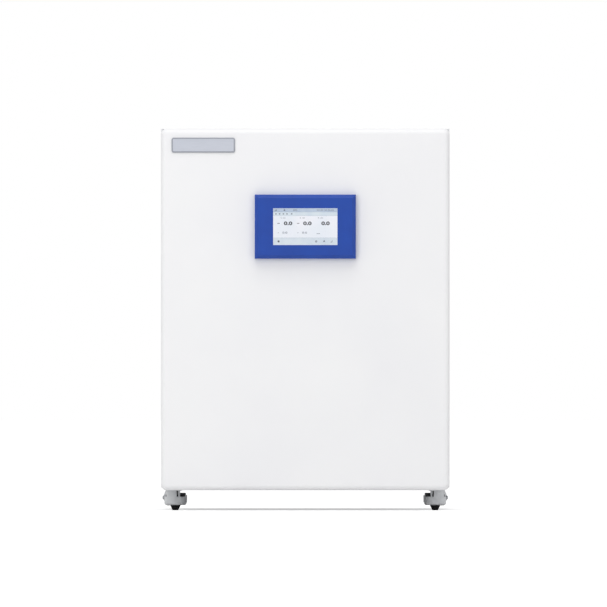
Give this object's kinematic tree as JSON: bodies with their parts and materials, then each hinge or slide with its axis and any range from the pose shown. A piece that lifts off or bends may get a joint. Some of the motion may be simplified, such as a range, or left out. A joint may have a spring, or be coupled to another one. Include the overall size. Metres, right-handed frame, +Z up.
{
  "type": "carbon dioxide incubator",
  "caption": "Cabinet that keeps cell cultures in warm, humid air with added carbon dioxide, with a front door, control screen, inner glass door, sliding shelves and levelling casters.",
  "frame": {"origin": "on the floor, under the middle of the bounding box", "axes": "+X to the viewer's right, +Y to the back of the cabinet, +Z up; the door faces -Y"},
  "size_m": [0.68, 0.76, 0.9],
  "materials": {
    "white_paint": "satin",
    "frame_plastic": "matte",
    "stainless": "satin",
    "zinc_steel": "satin",
    "insulation": "matte",
    "heater_film": "satin",
    "seal_rubber": "matte",
    "clear_silicone": "matte",
    "control_blue": "satin",
    "touch_glass": "gloss",
    "display": "satin",
    "nameplate_metal": "satin",
    "clear_glass": "gloss",
    "grip_plastic": "matte",
    "bearing_plastic": "matte",
    "motor_paint": "satin",
    "aluminium": "satin",
    "sensor_steel": "gloss",
    "brass": "satin",
    "hose": "satin",
    "circuit_board": "satin",
    "black_plastic": "matte",
    "port_plastic": "satin",
    "caster_metal": "satin",
    "nylon": "satin",
    "black_rubber": "matte"
  },
  "bodies": {
    "cabinet": {"side_panels": "white_paint", "top_panel": "white_paint", "back_panel": "white_paint", "base_pan": "zinc_steel", "front_frame": "frame_plastic", "inner_chamber": "stainless", "heater_films": "heater_film", "insulation_panels": "insulation", "shelf_racks": "stainless", "duct_panel": "stainless", "fan_motor": "motor_paint", "chamber_sensors": "sensor_steel", "gas_inlet": "brass", "solenoid_valve": "brass", "gas_line": "hose", "power_supply": "aluminium", "control_board": "circuit_board", "power_inlet": "black_plastic", "access_port_sleeve": "port_plastic", "door_hinge_brackets": "zinc_steel", "inner_hinge_brackets": "stainless", "latch_keeper": "stainless", "caster_plates": "zinc_steel"},
    "outer_door": {"door_shell": "white_paint", "hinge_bushes": "bearing_plastic", "door_foam": "insulation", "door_liner": "frame_plastic", "grip_cup": "grip_plastic", "door_gasket": "seal_rubber", "control_bezel": "control_blue", "touch_glass": "touch_glass", "display_module": "display", "nameplate": "nameplate_metal"},
    "inner_door": {"inner_glass": "clear_glass", "inner_door_trim": "clear_silicone", "inner_door_gasket": "clear_silicone"},
    "latch": {"latch_handle": "aluminium"},
    "lower_shelf": {"shelf_1": "stainless"},
    "middle_shelf": {"shelf_2": "stainless"},
    "upper_shelf": {"shelf_3": "stainless"},
    "pan": {"water_pan": "stainless"},
    "fan": {"fan_impeller": "aluminium"},
    "switch": {"power_switch": "black_plastic"},
    "stopper": {"port_plug": "clear_silicone"},
    "left_front_caster": {"left_front_caster_housing": "caster_metal"},
    "left_front_wheel": {"left_front_caster_wheel": "nylon"},
    "left_front_dial": {"left_front_levelling_dial": "black_plastic"},
    "left_front_foot": {"left_front_foot_pad": "black_rubber"},
    "right_front_caster": {"right_front_caster_housing": "caster_metal"},
    "right_front_wheel": {"right_front_caster_wheel": "nylon"},
    "right_front_dial": {"right_front_levelling_dial": "black_plastic"},
    "right_front_foot": {"right_front_foot_pad": "black_rubber"},
    "left_rear_caster": {"left_rear_caster_housing": "caster_metal"},
    "left_rear_wheel": {"left_rear_caster_wheel": "nylon"},
    "left_rear_dial": {"left_rear_levelling_dial": "black_plastic"},
    "left_rear_foot": {"left_rear_foot_pad": "black_rubber"},
    "right_rear_caster": {"right_rear_caster_housing": "caster_metal"},
    "right_rear_wheel": {"right_rear_caster_wheel": "nylon"},
    "right_rear_dial": {"right_rear_levelling_dial": "black_plastic"},
    "right_rear_foot": {"right_rear_foot_pad": "black_rubber"}
  },
  "joints": [
    {"name": "outer_door_hinge", "type": "hinge", "parent": "cabinet", "child": "outer_door", "pos_m": [-0.324, -0.318, 0.474], "axis": [0, 0, -1], "range_deg": [0, 120]},
    {"name": "inner_door_hinge", "type": "hinge", "parent": "cabinet", "child": "inner_door", "pos_m": [-0.279, -0.28, 0.475], "axis": [0, 0, -1], "range_deg": [0, 96]},
    {"name": "latch_turn", "type": "hinge", "parent": "inner_door", "child": "latch", "pos_m": [0.266, -0.273, 0.475], "axis": [0, 1, 0], "range_deg": [0, 90]},
    {"name": "lower_shelf_slide", "type": "slide", "parent": "cabinet", "child": "lower_shelf", "axis": [0, -1, 0], "range_m": [0, 0.02]},
    {"name": "middle_shelf_slide", "type": "slide", "parent": "cabinet", "child": "middle_shelf", "axis": [0, -1, 0], "range_m": [0, 0.02]},
    {"name": "upper_shelf_slide", "type": "slide", "parent": "cabinet", "child": "upper_shelf", "axis": [0, -1, 0], "range_m": [0, 0.02]},
    {"name": "water_pan_slide", "type": "slide", "parent": "cabinet", "child": "pan", "axis": [0, -1, 0], "range_m": [0, 0.02]},
    {"name": "fan_spin", "type": "hinge", "parent": "cabinet", "child": "fan", "pos_m": [0, 0.244, 0.69], "axis": [0, 1, 0], "continuous": true},
    {"name": "power_switch_rock", "type": "hinge", "parent": "cabinet", "child": "switch", "pos_m": [-0.228, 0.353, 0.122], "axis": [1, 0, 0], "range_deg": [0, 16]},
    {"name": "port_stopper_pull", "type": "slide", "parent": "cabinet", "child": "stopper", "axis": [0, 1, 0], "range_m": [0, 0.05]},
    {"name": "left_front_swivel", "type": "hinge", "parent": "cabinet", "child": "left_front_caster", "pos_m": [-0.31, -0.222, 0.054], "axis": [0, 0, 1], "continuous": true},
    {"name": "left_front_roll", "type": "hinge", "parent": "left_front_caster", "child": "left_front_wheel", "pos_m": [-0.31965, -0.19044, 0.0298], "axis": [0.9563, 0.2924, 0], "continuous": true},
    {"name": "left_front_dial_turn", "type": "hinge", "parent": "left_front_caster", "child": "left_front_dial", "pos_m": [-0.30649, -0.23348, 0.0348], "axis": [0, 0, 1], "range_deg": [0, 2468.57]},
    {"name": "left_front_foot_rise", "type": "slide", "parent": "left_front_caster", "child": "left_front_foot", "axis": [0, 0, 1], "range_m": [0, 0.012]},
    {"name": "right_front_swivel", "type": "hinge", "parent": "cabinet", "child": "right_front_caster", "pos_m": [0.31, -0.222, 0.054], "axis": [0, 0, 1], "continuous": true},
    {"name": "right_front_roll", "type": "hinge", "parent": "right_front_caster", "child": "right_front_wheel", "pos_m": [0.31965, -0.19044, 0.0298], "axis": [0.9563, -0.2924, 0], "continuous": true},
    {"name": "right_front_dial_turn", "type": "hinge", "parent": "right_front_caster", "child": "right_front_dial", "pos_m": [0.30649, -0.23348, 0.0348], "axis": [0, 0, 1], "range_deg": [0, 2468.57]},
    {"name": "right_front_foot_rise", "type": "slide", "parent": "right_front_caster", "child": "right_front_foot", "axis": [0, 0, 1], "range_m": [0, 0.012]},
    {"name": "left_rear_swivel", "type": "hinge", "parent": "cabinet", "child": "left_rear_caster", "pos_m": [-0.31, 0.292, 0.054], "axis": [0, 0, 1], "continuous": true},
    {"name": "left_rear_roll", "type": "hinge", "parent": "left_rear_caster", "child": "left_rear_wheel", "pos_m": [-0.31798, 0.32402, 0.0298], "axis": [0.9703, 0.2419, 0], "continuous": true},
    {"name": "left_rear_dial_turn", "type": "hinge", "parent": "left_rear_caster", "child": "left_rear_dial", "pos_m": [-0.3071, 0.28036, 0.0348], "axis": [0, 0, 1], "range_deg": [0, 2468.57]},
    {"name": "left_rear_foot_rise", "type": "slide", "parent": "left_rear_caster", "child": "left_rear_foot", "axis": [0, 0, 1], "range_m": [0, 0.012]},
    {"name": "right_rear_swivel", "type": "hinge", "parent": "cabinet", "child": "right_rear_caster", "pos_m": [0.31, 0.292, 0.054], "axis": [0, 0, 1], "continuous": true},
    {"name": "right_rear_roll", "type": "hinge", "parent": "right_rear_caster", "child": "right_rear_wheel", "pos_m": [0.31798, 0.32402, 0.0298], "axis": [0.9703, -0.2419, 0], "continuous": true},
    {"name": "right_rear_dial_turn", "type": "hinge", "parent": "right_rear_caster", "child": "right_rear_dial", "pos_m": [0.3071, 0.28036, 0.0348], "axis": [0, 0, 1], "range_deg": [0, 2468.57]},
    {"name": "right_rear_foot_rise", "type": "slide", "parent": "right_rear_caster", "child": "right_rear_foot", "axis": [0, 0, 1], "range_m": [0, 0.012]}
  ],
  "couplings": [
    {"joint": "inner_door_hinge", "follows": "outer_door_hinge", "ratio": 0.8},
    {"joint": "left_front_foot_rise", "follows": "left_front_dial_turn", "m_per_rad": 0.00027852},
    {"joint": "right_front_foot_rise", "follows": "right_front_dial_turn", "m_per_rad": 0.00027852},
    {"joint": "left_rear_foot_rise", "follows": "left_rear_dial_turn", "m_per_rad": 0.00027852},
    {"joint": "right_rear_foot_rise", "follows": "right_rear_dial_turn", "m_per_rad": 0.00027852}
  ]
}
